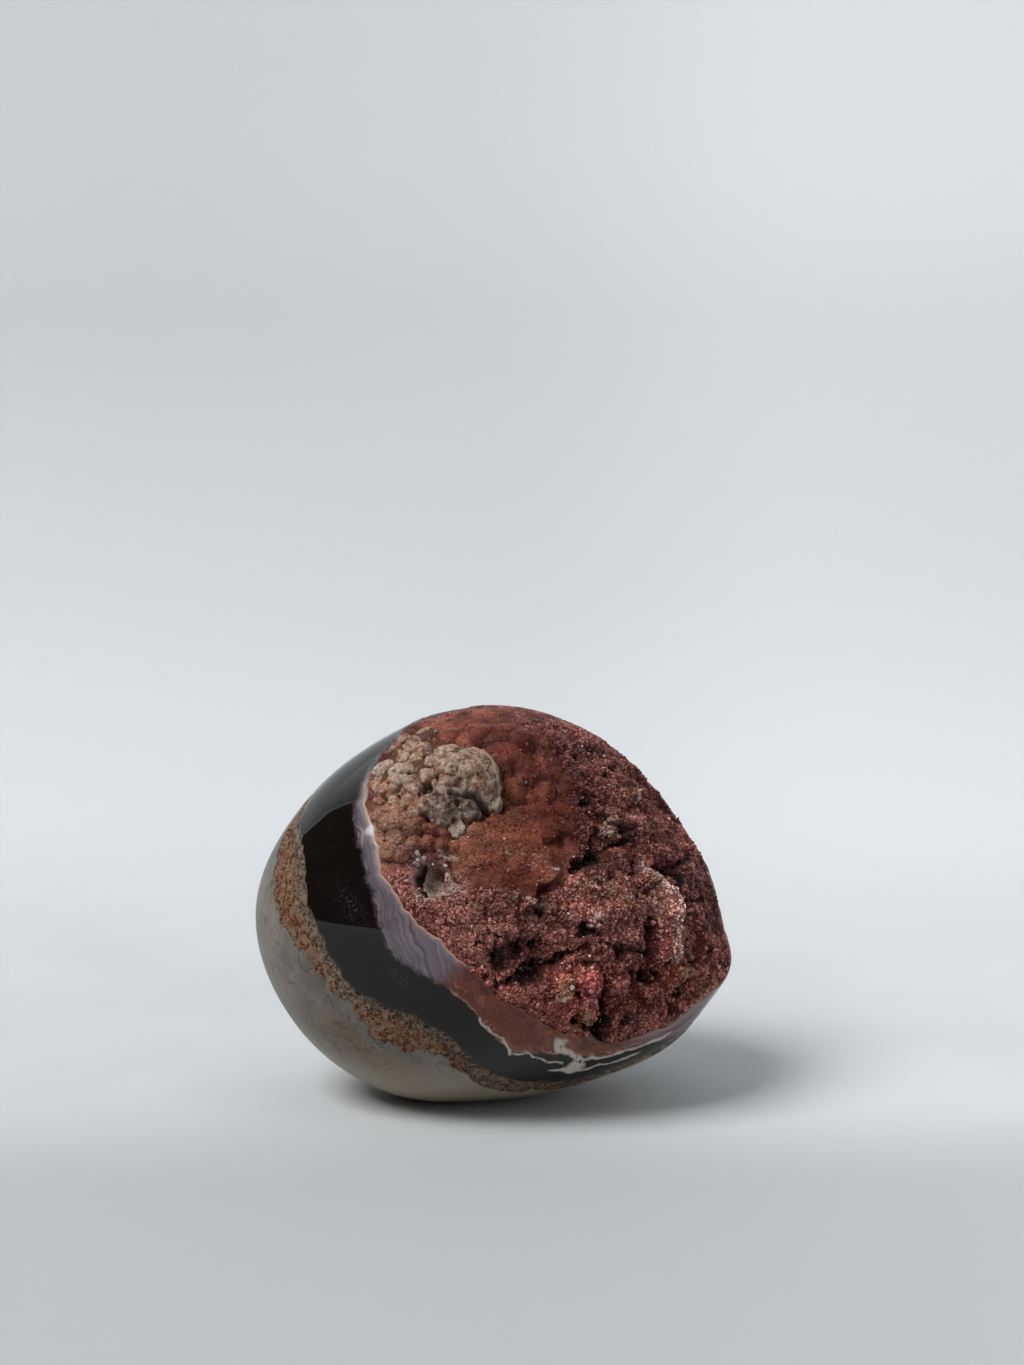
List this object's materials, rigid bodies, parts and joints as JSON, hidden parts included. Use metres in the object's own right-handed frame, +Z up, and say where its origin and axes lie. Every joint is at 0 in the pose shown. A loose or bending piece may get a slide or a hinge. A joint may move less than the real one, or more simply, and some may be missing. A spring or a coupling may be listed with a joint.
{
  "type": "chalcedony",
  "caption": "Egg-shaped polished chalcedony nodule with a natural face of red quartz druse and a pale lump of round nodules, resting on a small flat spot.",
  "frame": {"origin": "middle of the stone's footprint, on the surface that it rests on", "axes": "+Z up, +X to the viewer's right, +Y away from a viewer who looks at the druse face"},
  "size_m": [0.0828, 0.0584, 0.0672],
  "materials": {
    "polished_agate": "polished, black and lavender agate with a satin grey-green matrix",
    "druse": "rough red-brown quartz druse with fine sparkling points",
    "pale_nodules": "matte beige round nodules"
  },
  "bodies": {
    "root": {"chalcedony_stone": "polished_agate"}
  },
  "joints": []
}
